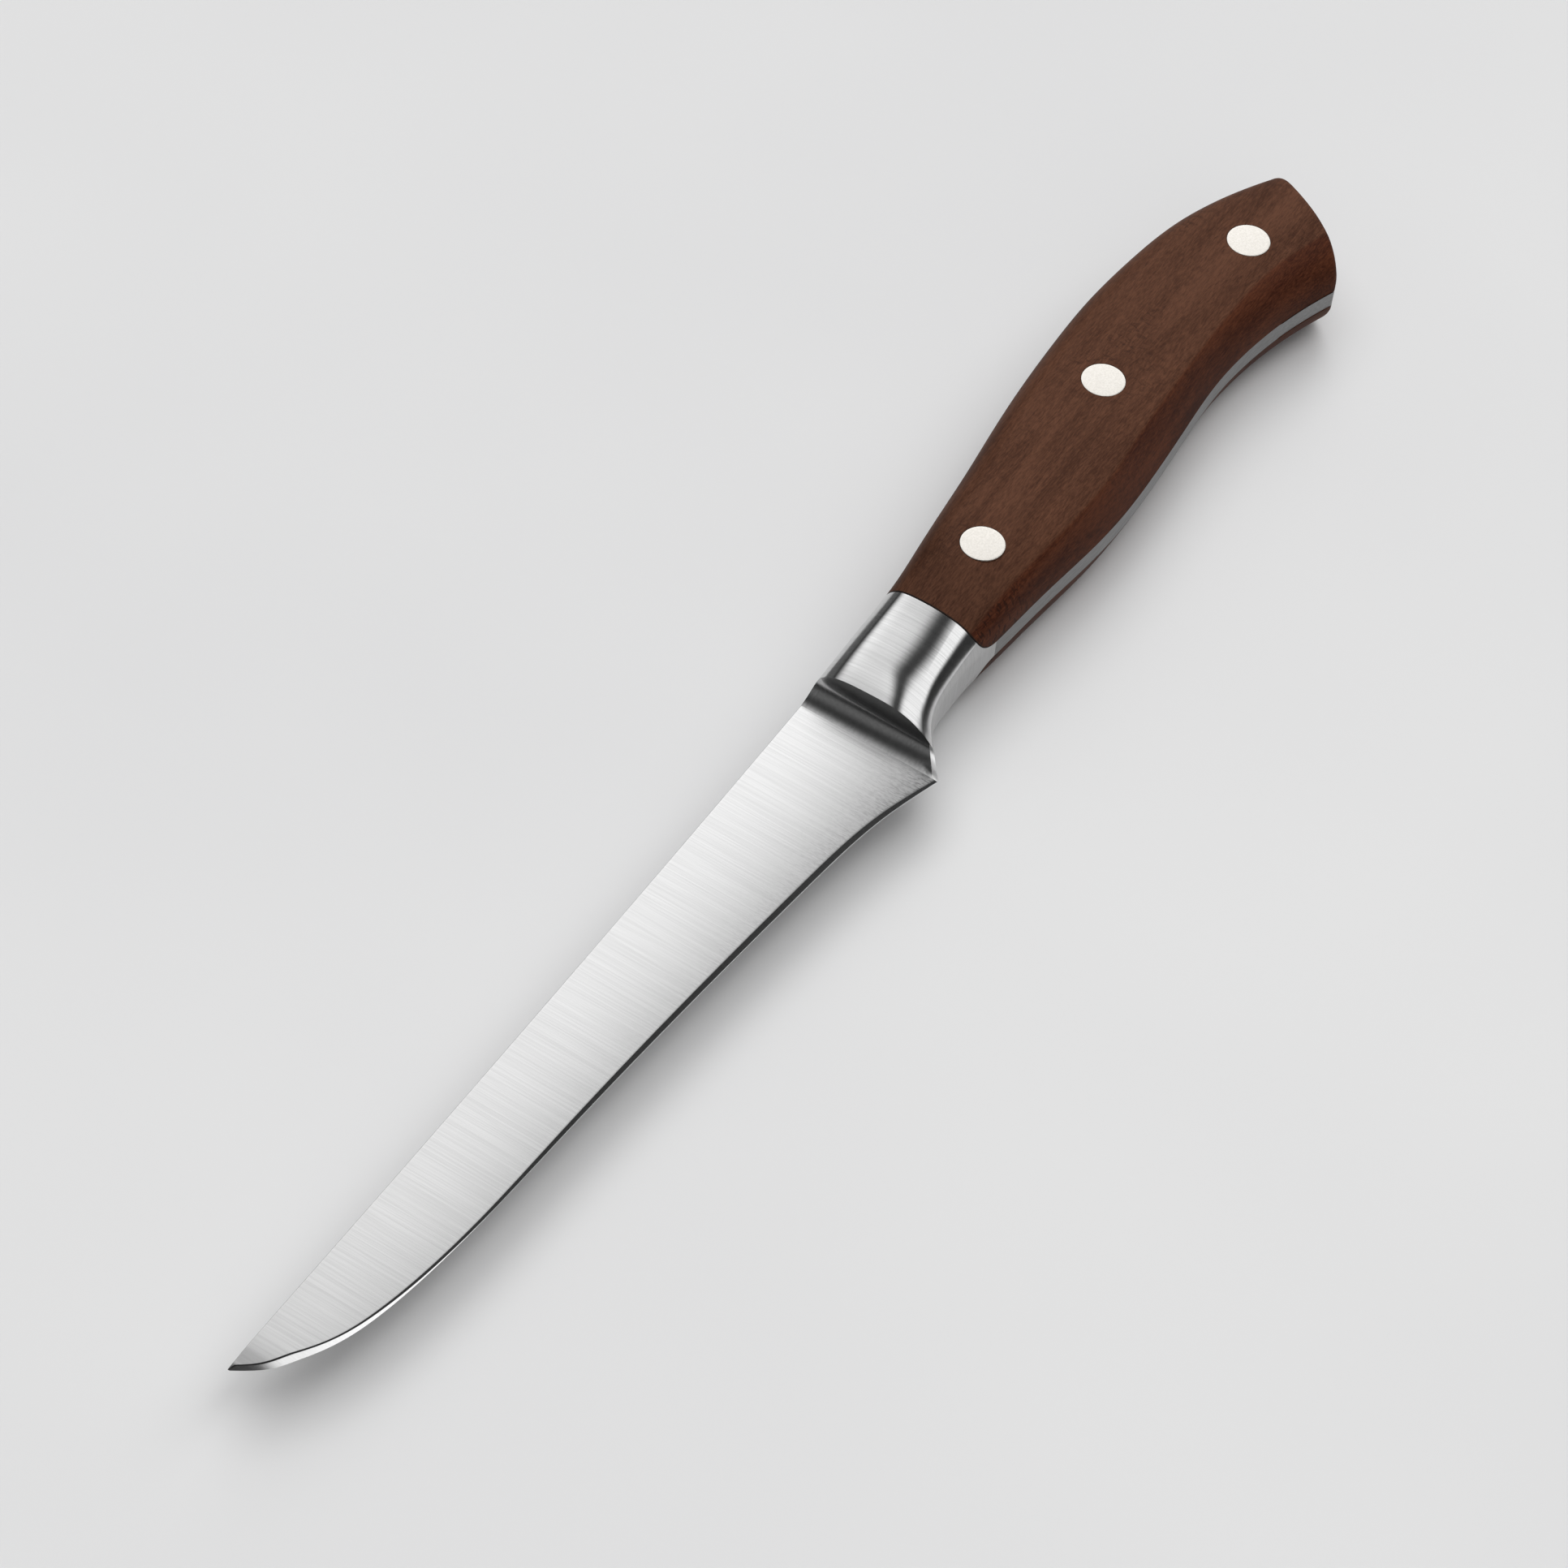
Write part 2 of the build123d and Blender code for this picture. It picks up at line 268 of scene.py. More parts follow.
def blade_section(x):
    """Half a section of the blade at x, with as many points as section()."""
    spine, edge = blade_spine(x), edge_y(x)
    slope = (edge_y(x + 0.01) - edge_y(x - 0.01)) / 0.02 if x > 0.01 else -1.4
    run = math.hypot(1, slope)
    upper_rise = math.tan(math.radians(BEVEL_ANGLE)) / run
    lower_rise = math.tan(math.radians(BEVEL_ANGLE + TIP_STEEPER)) / run
    share = 0.02 + 0.78 * smooth(x, 45, 6)
    rise = lower_rise * share + upper_rise * (1 - share)
    width = (flat_half(x, edge) - EDGE_HALF) / (rise - FLAT_TAPER_Y)
    width = min(width, BEVEL_WIDEST, 0.8 * (spine - edge))
    bevel, split = edge + width, edge + width * share
    bottom, split_half = EDGE_HALF + rise * width, EDGE_HALF + lower_rise * width * share
    thin = flat_half(x, bevel) - bottom
    top = flat_half(x, spine) - thin
    ease = min(SPINE_EASE, 0.3 * (spine - bevel), top / 2)
    back = np.c_[np.full(STRIP + 1, spine), np.linspace(0, top - ease, STRIP + 1)]
    turn = quadratic(back[-1], (spine, top), (spine - ease, flat_half(x, spine - ease) - thin),
                     np.linspace(0, 1, SPINE_SIDE + 1)[1:])
    ys = np.linspace(spine - ease, bevel, FACE + 1)[1:]
    face = np.c_[ys, face_half(x, ys) - thin]
    honed = np.c_[np.linspace(bevel, split, UPPER_BEVEL + 1)[1:],
                  np.linspace(face[-1, 1], split_half, UPPER_BEVEL + 1)[1:]]
    steeper = FACET - UPPER_BEVEL
    honed_more = np.c_[np.linspace(split, edge, steeper + 1)[1:],
                       np.linspace(split_half, EDGE_HALF, steeper + 1)[1:]]
    lower = np.c_[np.full(LOWER, edge), np.linspace(EDGE_HALF, 0, LOWER + 1)[1:]]
    return np.concatenate([back, turn, face, honed, honed_more, lower])


def scoop_section(x):
    """Half a section through the scoop, cut out of the hull."""
    spine, height = hull_spine(x), hull_height(x)
    ry, belly = ridge_y(x), belly_y(x)
    crown = spine + (ry - spine) * CROWN_SHARE
    power = SPINE_ROUNDNESS / 2
    cut_y = spine
    for _ in range(20):
        z = face_half(x, cut_y)
        turn = math.asin(min(1.0, (z / height) ** power))
        cut_y = crown + (spine - crown) * math.cos(turn) ** (1 / power)
    strip = min(0.4 * z, 0.5)
    low = math.asin((strip / height) ** power)
    turns = np.concatenate([np.linspace(0, low, STRIP + 1), np.linspace(low, turn, SPINE_SIDE + 1)[1:]])
    upper = np.c_[crown + (spine - crown) * np.cos(turns) ** (1 / power),
                  height * np.sin(turns) ** (1 / power)]
    ys = np.linspace(cut_y, ry, FACE + 1)[1:]
    face = np.c_[ys, face_half(x, ys)]
    end = face[-1, 1]
    shoulder_half = belly_half(ridge_z(SHOULDER_X))
    low_half = EDGE_HALF + (shoulder_half - EDGE_HALF) * (x - HEEL_X) / (SHOULDER_X - HEEL_X)
    low_half = min(low_half, 0.9 * end)
    heel = np.c_[np.linspace(ry, belly, FACET + 1)[1:], np.linspace(end, low_half, FACET + 1)[1:]]
    lower = np.c_[np.full(LOWER, belly), np.linspace(low_half, 0, LOWER + 1)[1:]]
    return np.concatenate([upper, face, heel, lower])


# ---------------------------------------------------------------- where the wood starts and ends

def front_x(z):
    """The front of the scales: a flat wall with a rounded corner at the tang."""
    return WOOD_START + round_off(z - TANG_HALF, ROOT_RADIUS)


def butt_x(y, spine, belly):
    """The end of the handle: a shallow arc with rounded corners."""
    arc = butt_x0 + np.sqrt(np.maximum(butt_radius ** 2 - (y - butt_y0) ** 2, 0))
    return arc - round_off(spine - y, BUTT_ROUND) - round_off(y - belly, BUTT_ROUND)


first_of_wood, last_of_wood = STRIP, STRIP + SPINE_SIDE + FACE + FACET
POINTS = STRIP + SPINE_SIDE + FACE + FACET + LOWER + 1
HULL_XS = np.arange(SHOULDER_X, SECTIONS[-1][0], 0.2)
HULL = np.array([section(x) for x in HULL_XS])


def hull_row(xs):
    """One row of the hull's grid with its own x for each column: rows of (x, y, z)."""
    yz = [[np.interp(x, HULL_XS, HULL[:, column, axis]) for axis in (0, 1)] for column, x in enumerate(xs)]
    return np.c_[xs, yz]


def wood_ends():
    """Where each column of the grid enters the wood and where it leaves it at the butt.

    Both places are found by halving a range that is sure to hold them.
    """
    low_front, high_front = np.full(POINTS, WOOD_START), np.full(POINTS, WOOD_START + 8)
    low_butt, high_butt = np.full(POINTS, 262.0), np.full(POINTS, 292.0)
    for _ in range(30):
        front = (low_front + high_front) / 2
        short = front < front_x(hull_row(front)[:, 2])
        low_front, high_front = np.where(short, front, low_front), np.where(short, high_front, front)
        butt = (low_butt + high_butt) / 2
        short = butt < butt_x(hull_row(butt)[:, 1], hull_spine(butt), belly_y(butt))
        low_butt, high_butt = np.where(short, butt, low_butt), np.where(short, high_butt, butt)
    front[:first_of_wood + 1] = front[first_of_wood + 1]
    butt[:first_of_wood] = butt[first_of_wood]
    front[last_of_wood:] = front[last_of_wood]
    butt[last_of_wood:] = butt[last_of_wood]
    return front, butt


starts, ends = wood_ends()


# ---------------------------------------------------------------- meshes

def place(points):
    """From the knife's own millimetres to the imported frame's metres."""
    return ORIGIN + np.asarray(points) * MM


def build(name, points, faces, sharp=14.0, slots=None):
    """A mesh object from points and faces, welded, with edges sharper than an angle kept crisp."""
    mesh = bpy.data.meshes.new(name)
    mesh.from_pydata([tuple(p) for p in place(points)], [], faces)
    if slots is not None:
        mesh.polygons.foreach_set("material_index", slots)
    work = bmesh.new()
    work.from_mesh(mesh)
    bmesh.ops.remove_doubles(work, verts=work.verts, dist=0.002 * MM)
    bmesh.ops.dissolve_degenerate(work, dist=0.001 * MM, edges=work.edges)
    bmesh.ops.recalc_face_normals(work, faces=work.faces)
    crisp(work, sharp)
    work.to_mesh(mesh)
    work.free()
    piece = bpy.data.objects.new(name, mesh)
    bpy.context.scene.collection.objects.link(piece)
    return piece


def crisp(work, sharp):
    """Smooth shading everywhere except across edges sharper than the angle."""
    for face in work.faces:
        face.smooth = True
    for edge in work.edges:
        edge.smooth = len(edge.link_faces) == 2 and edge.calc_face_angle(0) < math.radians(sharp)


def ring_faces(rows, size):
    """Quads between closed rings of the same size."""
    faces = []
    for a in range(0, (rows - 1) * size, size):
        b = a + size
        for i in range(size):
            j = (i + 1) % size
            faces.append((a + i, a + j, b + j, b + i))
    return faces


def mirrored_ring(half):
    """A closed ring from a half section: the upper half, then its mirror image back."""
    lower = half[-2:0:-1] * np.array([1, 1, -1])
    return np.concatenate([half, lower])


def ring_cap(start, half_count):
    """Quads that close a ring by joining each upper point to its mirror image."""
    size = 2 * half_count - 2
    pairs = [(start + i, start + (size - i) % size) for i in range(half_count)]
    return [(a, c, d, b) for (a, b), (c, d) in zip(pairs, pairs[1:])]


def with_x(x, half):
    """A half section's rows of (y, z) as rows of (x, y, z)."""
    return np.c_[np.full(len(half), x), half]


# The forging's finishes, by material slot. Several are the same steel painted darker or lighter, as painted
# shade and a painted highlight.
SATIN, HONED_PAINTED_SHADE, HONED_TIP, BOLSTER, SCOOP_PAINTED_SHADE, HEEL_PAINTED_HIGHLIGHT, BELLY_PAINTED_SHADE, MATT_PAINTED_SHADE = range(8)


def forging_points():
    """The rows of the forging's grid from the tip to the butt, and each row's finishes by column."""
    rows = []
    finishes = []

    def keep(new_rows, upper, facet, lowest):
        """Adds rows with one finish above the facet, one on its upper part and one below."""
        finish = [upper] * (STRIP + SPINE_SIDE + FACE) + [facet] * UPPER_BEVEL
        finish += [lowest] * (FACET + LOWER - UPPER_BEVEL)
        rows.extend(new_rows)
        finishes.extend([finish] * len(new_rows))

    near_tip, near_heel = np.linspace(0, 1, 40) ** 1.6 * 20, np.arange(146, HEEL_X, 0.15)
    middle = np.arange(21, 146, 1.0)
    keep([with_x(x, blade_section(x)) for x in np.concatenate([near_tip, middle, near_heel])],
         SATIN, HONED_PAINTED_SHADE, HONED_TIP)
    scoop_xs = HEEL_X + (SHOULDER_X - HEEL_X) * np.sin(np.linspace(0.02, math.pi / 2, 30))
    keep([with_x(x, scoop_section(x)) for x in scoop_xs], SCOOP_PAINTED_SHADE, HEEL_PAINTED_HIGHLIGHT, HEEL_PAINTED_HIGHLIGHT)
    bottom = rows[-1]
    top = with_x(SHOULDER_X, section(SHOULDER_X))
    keep([bottom + (top - bottom) * share for share in np.linspace(0, 1, 7)[1:]], SCOOP_PAINTED_SHADE, HEEL_PAINTED_HIGHLIGHT, HEEL_PAINTED_HIGHLIGHT)
    keep([hull_row(SHOULDER_X + (starts - SHOULDER_X) * share) for share in np.linspace(0, 1, 50)[1:]],
         BOLSTER, BELLY_PAINTED_SHADE, BELLY_PAINTED_SHADE)
    flat = slice(first_of_wood, last_of_wood + 1)
    tang = [hull_row(starts + (ends - starts) * share) for share in np.linspace(0, 1, 150)]
    for row in tang:
        row[flat, 2] = TANG_HALF
    keep(tang, MATT_PAINTED_SHADE, MATT_PAINTED_SHADE, MATT_PAINTED_SHADE)
    return rows, finishes


def make_forging():
    """The blade, bolster and tang in one mesh."""
    halves, finishes = forging_points()
    rows = [mirrored_ring(row) for row in halves]
    size = len(rows[0])
    faces = ring_faces(len(rows), size)
    slots = [finish for row in finishes[1:] for finish in row + row[::-1]]
    caps = ring_cap(0, POINTS) + ring_cap((len(rows) - 1) * size, POINTS)
    return build("knife_forging", np.concatenate(rows), faces + caps, slots=slots + [MATT_PAINTED_SHADE] * len(caps))


def eased_edges(row):
    """A row across a scale with a fine chamfer where it meets the tang at the spine and at the belly."""
    edges = []
    for edge, inner in ((row[0], row[1]), (row[-1], row[-2])):
        way = (inner - edge) / np.linalg.norm(inner - edge)
        step = edge + way * min(SEAM, 0.4 * np.linalg.norm(inner - edge))
        across = np.sign(inner[1] - edge[1]) or 1.0
        edges.append((edge + np.array([0, across * SEAM, 0]), step))
    (spine_edge, spine_step), (belly_edge, belly_step) = edges
    return np.concatenate([[spine_edge, spine_step], row[1:-1], [belly_step, belly_edge]])


def make_scale(name, side):
    """One wooden scale: the hull's surface outside the tang, closed by its flat inner face."""
    wood = slice(first_of_wood, last_of_wood + 1)
    rows = []
    near_front = np.array([0, 0.0003, 0.0007, 0.0011, 0.0022])
    near_butt = 1 - np.array([0.008, 0.006, 0.0042, 0.0028, 0.0016, 0.0008, 0.0003, 0])
    for share in np.concatenate([near_front, np.linspace(0.005, 0.99, 180), near_butt]):
        row = hull_row(starts + GAP + (ends - starts - GAP) * share)[wood]
        fall = round_off(row[:, 0] - starts[wood] - GAP, SEAM) + round_off(ends[wood] - row[:, 0], BUTT_EDGE)
        row[:, 2] = np.maximum(row[:, 2] - fall, TANG_HALF + CLEARANCE)
        row[[0, -1], 2] = TANG_HALF + CLEARANCE
        row = eased_edges(row)
        inner = row[-2:0:-1] * np.array([1, 1, 0]) + np.array([0, 0, TANG_HALF])
        rows.append(np.concatenate([row, inner]) * np.array([1, 1, side]))
    count = len(rows[0]) // 2 + 1
    size = len(rows[0])
    faces = ring_faces(len(rows), size)
    # Painted shade: the first rows at the front, the chamfers along the tang and the front face take the dark
    # seam material.
    seam_shade_rows = len(near_front) - 1
    slots = [int(row < seam_shade_rows or i in (0, count - 2)) for row in range(len(rows) - 1) for i in range(size)]
    faces += ring_cap(0, count) + ring_cap((len(rows) - 1) * size, count)
    slots += [1] * (count - 1) + [0] * (count - 1)
    piece = build(name, np.concatenate(rows), faces, slots=slots)
    for finish in (wood_finish, wood_seam_painted_shade):
        piece.data.materials.append(finish)
    for centre in RIVETS.values():
        drill(piece, centre)
    return piece


def drill(piece, centre):
    """Cuts a rivet's round hole through a piece."""
    reach = HALF_THICKNESS + 2
    radius = HEAD_RADIUS + CLEARANCE
    cutter = turned("drill", [(radius, -reach), (radius, reach)], centre)
    cut = piece.modifiers.new("hole", "BOOLEAN")
    cut.operation = "DIFFERENCE"
    cut.solver = "EXACT"
    cut.object = cutter
    bpy.context.view_layer.update()
    shape = bpy.data.meshes.new_from_object(piece.evaluated_get(bpy.context.evaluated_depsgraph_get()))
    piece.modifiers.clear()
    piece.data = shape
    bpy.data.objects.remove(cutter)
    recrisp(piece, 20.0)


def recrisp(piece, sharp):
    """Closes any sliver a cut left open and marks the sharp edges of a finished piece again."""
    work = bmesh.new()
    work.from_mesh(piece.data)
    bmesh.ops.holes_fill(work, edges=[edge for edge in work.edges if edge.is_boundary], sides=4)
    crisp(work, sharp)
    work.to_mesh(piece.data)
    work.free()


def turned(name, profile, centre):
    """A piece turned on a lathe about a vertical axis: profile is rows of (radius, z)."""
    angles = np.arange(LATHE_STEPS) * 2 * math.pi / LATHE_STEPS
    rows = [np.c_[centre[0] + r * np.cos(angles), centre[1] + r * np.sin(angles), np.full(LATHE_STEPS, z)]
            for r, z in profile]
    last = (len(rows) - 1) * LATHE_STEPS
    faces = ring_faces(len(rows), LATHE_STEPS)
    faces += [tuple(range(LATHE_STEPS)), tuple(range(last, last + LATHE_STEPS))]
    return build(name, np.concatenate(rows), faces, sharp=25.0)


def head_profile(top):
    """A flush rivet head from its centre to its rim: barely domed, with a rounded rim."""
    radii = np.linspace(AXIS, HEAD_RADIUS - RIM, 16)
    rows = [(r, top - DOME * (r / HEAD_RADIUS) ** 2) for r in radii]
    turns = np.linspace(0, math.pi / 2, 6)[1:]
    rim_z = rows[-1][1] - RIM
    rows += [(HEAD_RADIUS - RIM + RIM * math.sin(t), rim_z + RIM * math.cos(t)) for t in turns]
    return rows


def make_rivet(place_name, centre, side):
    """Half a rivet: the pin with the upper head, or the hollow socket with the lower one."""
    top = HALF_THICKNESS
    under, pin_end, barrel_end = top - HEAD_THICKNESS, PIN_SHORT - top, BARREL_SHORT - top
    rows = head_profile(top) + [(HEAD_RADIUS, under)]
    if side > 0:
        rows += [(PIN_RADIUS, under), (PIN_RADIUS, pin_end), (AXIS, pin_end)]
    else:
        rows += [(BARREL_RADIUS, under), (BARREL_RADIUS, barrel_end), (PIN_RADIUS, barrel_end),
                 (PIN_RADIUS, under), (AXIS, under)]
    rows = [(r, side * z) for r, z in rows]
    kind = "pin" if side > 0 else "socket"
    return turned(f"knife_{place_name}_rivet_{kind}", rows, centre)


# ---------------------------------------------------------------- materials

class Nodes:
    """A material's or the world's node tree, with a short way to add and join nodes."""

    def __init__(self, tree):
        self.tree = tree

    def add(self, kind, inputs=(), **settings):
        """A new node with its settings, and its inputs set or joined to other nodes."""
        node = self.tree.nodes.new(kind)
        for name, value in settings.items():
            setattr(node, name, value)
        for name, value in dict(inputs).items():
            if isinstance(value, bpy.types.NodeSocket):
                self.tree.links.new(value, node.inputs[name])
            else:
                node.inputs[name].default_value = value
        return node

    def math(self, operation, a, b=0.0):
        """The result of one sum."""
        return self.add("ShaderNodeMath", {0: a, 1: b}, operation=operation).outputs[0]

    def remap(self, value, low, high, to_low=0.0, to_high=1.0, smooth=False):
        """A value moved from one range to another and held inside it."""
        inputs = {"Value": value, "From Min": low, "From Max": high, "To Min": to_low, "To Max": to_high}
        kind = "SMOOTHSTEP" if smooth else "LINEAR"
        return self.add("ShaderNodeMapRange", inputs, interpolation_type=kind).outputs["Result"]

    def mix(self, share, a, b):
        """A color between a and b: a share of b over a."""
        node = self.add("ShaderNodeMix", data_type="RGBA")
        for socket, value in (("Factor_Float", share), ("A_Color", a), ("B_Color", b)):
            target = next(i for i in node.inputs if i.identifier == socket)
            if isinstance(value, bpy.types.NodeSocket):
                self.tree.links.new(value, target)
            else:
                target.default_value = value if isinstance(value, float) else (*value, 1)
        return next(o for o in node.outputs if o.identifier == "Result_Color")

    def grain(self, scale, detail=3.0, roughness=0.55, distortion=0.0):
        """Noise over the piece's own millimetres, stretched by a scale for each axis."""
        where = self.add("ShaderNodeTexCoord").outputs["Object"]
        per_metre = tuple(v / MM for v in scale)
        where = self.add("ShaderNodeVectorMath", {0: where, 1: per_metre}, operation="MULTIPLY").outputs[0]
        inputs = {"Vector": where, "Scale": 1.0, "Detail": detail, "Roughness": roughness,
                  "Distortion": distortion}
        return self.add("ShaderNodeTexNoise", inputs).outputs["Fac"]

    def on_knife(self, axis):
        """A point's x or y in the knife's own millimetres."""
        where = self.add("ShaderNodeTexCoord").outputs["Object"]
        value = self.add("ShaderNodeSeparateXYZ", {0: where}).outputs["XYZ".index(axis)]
        return self.math("DIVIDE", self.math("SUBTRACT", value, float(ORIGIN["XYZ".index(axis)])), MM)

    def bump(self, height, depth_mm):
        """A normal that makes the height look up to so many millimetres deep."""
        inputs = {"Height": height, "Distance": depth_mm * MM, "Strength": 1.0}
        return self.add("ShaderNodeBump", inputs).outputs["Normal"]


def material(name):
    """A new material, its nodes and its shader."""
    made = bpy.data.materials.new(name)
    made.use_nodes = True
    return made, Nodes(made.node_tree), made.node_tree.nodes["Principled BSDF"]


def brushed(name, dark, light, roughness, anisotropy, lines, depth, painted_shade_depth=0.0):
    """Ground steel: fine lines across its length, which smear its reflections lengthwise.

    dark and light are its tones, lines the grain's scale per mm and depth the lines' depth in mm. The last
    argument sets how much painted shade darkens the steel from the spine down to the heel, mottled towards
    the heel; a little more painted shade darkens it towards the tip.
    """
    made, nodes, shader = material(name)
    fine = nodes.grain(lines, detail=4.0)
    coarse = nodes.grain(tuple(0.22 * v for v in lines), detail=2.0)
    tone = nodes.math("ADD", nodes.math("MULTIPLY", fine, 0.9), nodes.math("MULTIPLY", coarse, 0.1))
    color = nodes.mix(nodes.remap(tone, 0.35, 0.65), dark, light)
    # Painted shade: the steel's colour darkens towards the heel, mottled there, and towards the tip.
    if painted_shade_depth:
        down = nodes.math("POWER", nodes.remap(nodes.on_knife("Y"), -1.0, -23.5), 1.8)
        speckle = nodes.remap(nodes.grain((5.0, 1.1, 1.1), detail=3.0), 0.45, 0.65)
        speckle = nodes.math("MULTIPLY", speckle, nodes.math("MULTIPLY", down, down))
        painted_shade_share = nodes.math("MULTIPLY", nodes.math("ADD", down, nodes.math("MULTIPLY", speckle, 0.30)), painted_shade_depth)
        painted_shade_share = nodes.math("ADD", painted_shade_share, nodes.remap(nodes.on_knife("X"), 45.0, 0.0, 0.0, 0.11))
        color = nodes.mix(painted_shade_share, color, (0.0, 0.0, 0.0))
    links = made.node_tree.links
    links.new(color, shader.inputs["Base Color"])
    links.new(nodes.remap(coarse, 0.3, 0.7, roughness * 0.97, roughness * 1.03), shader.inputs["Roughness"])
    links.new(nodes.bump(fine, depth), shader.inputs["Normal"])
    shader.inputs["Metallic"].default_value = 1.0
    shader.inputs["Anisotropic"].default_value = anisotropy
    tangent = nodes.add("ShaderNodeCombineXYZ", {"X": 1.0})
    links.new(tangent.outputs[0], shader.inputs["Tangent"])
    return made


RIDGE_POINTS = 13           # points of the shader's curve along the ridge
RIDGE_SPAN = 30.0           # millimetres below the tip's level that the curve's 0 stands for


def below_ridge(nodes):
    """0 on the sides of the handle and 1 on the belly facet, by how far a point lies below the ridge."""
    front, rear = WOOD_START, SECTIONS[-1][0]
    curve = nodes.add("ShaderNodeFloatCurve", {"Value": nodes.remap(nodes.on_knife("X"), front, rear)})
    points = curve.mapping.curves[0].points
    heights = 1 + ridge_y(np.linspace(front, rear, RIDGE_POINTS)) / RIDGE_SPAN
    points[0].location, points[1].location = (0, heights[0]), (1, heights[-1])
    for i in range(1, RIDGE_POINTS - 1):
        points.new(i / (RIDGE_POINTS - 1), heights[i])
    curve.mapping.update()
    ridge = nodes.math("MULTIPLY", nodes.math("SUBTRACT", curve.outputs[0], 1.0), RIDGE_SPAN)
    return nodes.remap(nodes.math("SUBTRACT", ridge, nodes.on_knife("Y")), -0.3, 0.4, smooth=True)


def wood_material():
    """Dark reddish brown hardwood, oiled: long grain, fine pores and short dark flecks, with painted shade on
    the belly facet and at the front of the sides.
    """
    made, nodes, shader = material("dark_wood")
    broad = nodes.grain((0.035, 0.30, 0.30), detail=4.0, roughness=0.6, distortion=0.6)
    fibre = nodes.grain((0.7, 4.0, 4.0), detail=4.0, roughness=0.7, distortion=0.3)
    flecks = nodes.grain((1.6, 0.7, 0.7), detail=1.5, distortion=0.8)
    where = nodes.grain((0.05, 0.12, 0.12), detail=1.0)
    tone = nodes.math("ADD", nodes.math("MULTIPLY", broad, 0.40), nodes.math("MULTIPLY", fibre, 0.60))
    tone = nodes.remap(tone, 0.40, 0.60)
    below = below_ridge(nodes)
    front = nodes.remap(nodes.on_knife("X"), WOOD_START + 26, WOOD_START + 3, smooth=True)
    # Painted shade: the belly facet gets a darker copy of the wood's tones, since it faces away from the
    # light.
    side = nodes.mix(tone, (0.052, 0.0190, 0.0095), (0.118, 0.0490, 0.0270))
    facet = nodes.mix(tone, (0.036, 0.0090, 0.0040), (0.100, 0.0310, 0.0140))
    # Painted shade: the sides darken by up to a quarter towards the front of the wood.
    side = nodes.mix(nodes.math("MULTIPLY", front, 0.25), side, (0.0, 0.0, 0.0))
    color = nodes.mix(below, side, facet)
    places = nodes.math("MAXIMUM", nodes.math("MULTIPLY", below, front),
                        nodes.remap(where, 0.50, 0.70, 0.0, 0.5))
    fleck = nodes.math("MULTIPLY", nodes.remap(flecks, 0.56, 0.62), places)
    color = nodes.mix(nodes.math("MULTIPLY", fleck, 0.75), color, (0.016, 0.006, 0.004))
    links = made.node_tree.links
    links.new(color, shader.inputs["Base Color"])
    links.new(nodes.remap(fibre, 0.3, 0.7, 0.50, 0.62), shader.inputs["Roughness"])
    shader.inputs["Specular IOR Level"].default_value = 0.08
    height = nodes.math("SUBTRACT", nodes.math("MULTIPLY", fibre, 0.5), fleck)
    links.new(nodes.bump(height, 0.012), shader.inputs["Normal"])
    return made


def seam_painted_shade_material():
    """Painted shade on the wood at the edges of the scales, where they meet the steel: a near-black seam line
    painted into the colour.
    """
    made, nodes, shader = material("wood_seam_painted_shade")
    tone = nodes.remap(nodes.grain((1.5, 1.5, 1.5), detail=2.0), 0.35, 0.65)
    made.node_tree.links.new(nodes.mix(tone, (0.006, 0.004, 0.003), (0.022, 0.012, 0.008)),
                             shader.inputs["Base Color"])
    shader.inputs["Roughness"].default_value = 0.7
    shader.inputs["Specular IOR Level"].default_value = 0.2
    return made


def grey(value):
    """A neutral color."""
    return (value, value, value)


# ---------------------------------------------------------------- the nine pieces

# In the order of the forging's slots: name, dark and light tone, roughness, anisotropy, lines, depth.
forging_finishes = [
    # The blade's colour carries painted shade towards the heel and the tip.
    brushed("satin_blade", grey(0.65), grey(0.73), 0.19, 0.97, (4.5, 0.06, 0.06), 0.0006, painted_shade_depth=0.62),
    # The honed bevel's upper part: the same steel painted far darker, painted shade for the dark strip along
    # the edge.
    brushed("honed_edge_painted_shade", grey(0.34), grey(0.42), 0.12, 0.5, (7.0, 0.5, 0.5), 0.0004),
    brushed("honed_tip", grey(0.72), grey(0.78), 0.16, 0.5, (7.0, 0.5, 0.5), 0.0004),
    brushed("satin_bolster", grey(0.58), grey(0.68), 0.19, 0.97, (4.0, 0.08, 0.08), 0.0008),
    # The scoop: the same steel painted darker, painted shade for the dark hollow.
    brushed("scoop", grey(0.46), grey(0.56), 0.24, 0.3, (0.5, 3.0, 3.0), 0.0004),
    # The heel's underside: the same steel painted near white, a painted highlight.
    brushed("heel", grey(0.92), grey(0.98), 0.45, 0.2, (3.0, 3.0, 3.0), 0.0008),
    # The bolster's belly faces: the same steel painted darker, its tone set by how bright they look in the
    # light, painted shade.
    brushed("bolster_belly_painted_shade", grey(0.43), grey(0.50), 0.34, 0.5, (5.0, 0.3, 0.3), 0.0010),
    # The tang's edge and the forging's end faces: the same steel painted far darker, painted shade.
    brushed("tang_edge_painted_shade", grey(0.22), grey(0.28), 0.50, 0.2, (0.3, 4.0, 4.0), 0.0015),
]
rivet_finish = brushed("rivet_head", (0.58, 0.555, 0.515), (0.65, 0.625, 0.585), 0.26, 0.5, (3.0, 3.0, 0.3),
                       0.0004)
wood_finish = wood_material()
wood_seam_painted_shade = seam_painted_shade_material()

